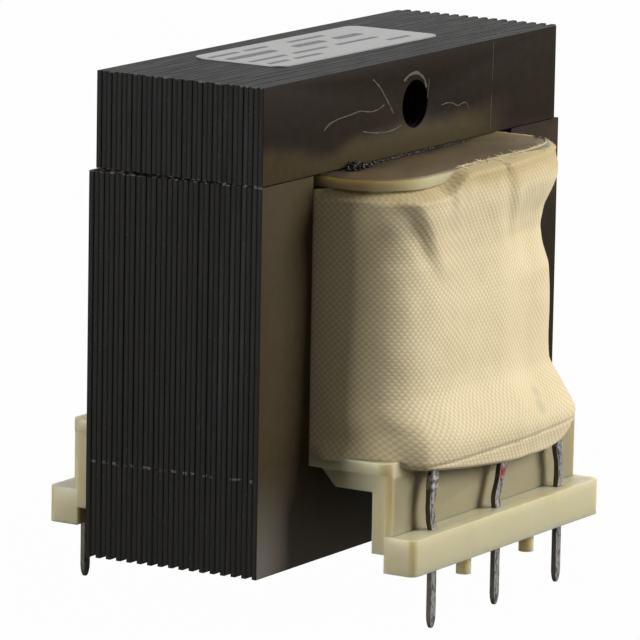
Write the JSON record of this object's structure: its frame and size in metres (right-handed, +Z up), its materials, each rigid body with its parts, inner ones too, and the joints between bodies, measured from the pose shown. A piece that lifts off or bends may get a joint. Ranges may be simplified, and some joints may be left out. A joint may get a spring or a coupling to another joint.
{
  "type": "pcb transformer",
  "caption": "Board-mounted transformer: upright laminated EI core, nylon bobbin with terminal rails and flat pins, and a cloth-wrapped coil.",
  "frame": {"origin": "in the board's top surface, midway between the two rows of terminals and midway along them", "axes": "+X along the core's width, +Y from the secondary terminals to the primary terminals through the stack, +Z up from the board"},
  "size_m": [0.0476, 0.0358, 0.045],
  "materials": {
    "core_steel": "varnished silicon steel",
    "nylon": "natural nylon, slightly translucent",
    "enamelled_wire": "enamelled copper",
    "insulation": "insulating tape",
    "cloth": "woven cloth tape, varnished",
    "tinned_terminal": "mottled tin",
    "solder": "satin",
    "label": "silver-grey film"
  },
  "bodies": {
    "root": {"e_laminations_yoke_down": "core_steel", "i_laminations_top": "core_steel", "e_laminations_yoke_up": "core_steel", "i_laminations_bottom": "core_steel", "bobbin": "nylon", "primary_winding": "enamelled_wire", "interwinding_insulation": "insulation", "secondary_winding": "enamelled_wire", "cloth_wrap": "cloth", "terminal_1": "tinned_terminal", "terminal_2": "tinned_terminal", "terminal_3": "tinned_terminal", "terminal_4": "tinned_terminal", "terminal_5": "tinned_terminal", "solder_joint_1": "solder", "solder_joint_2": "solder", "solder_joint_3": "solder", "solder_joint_4": "solder", "solder_joint_5": "solder", "label": "label"}
  },
  "joints": []
}
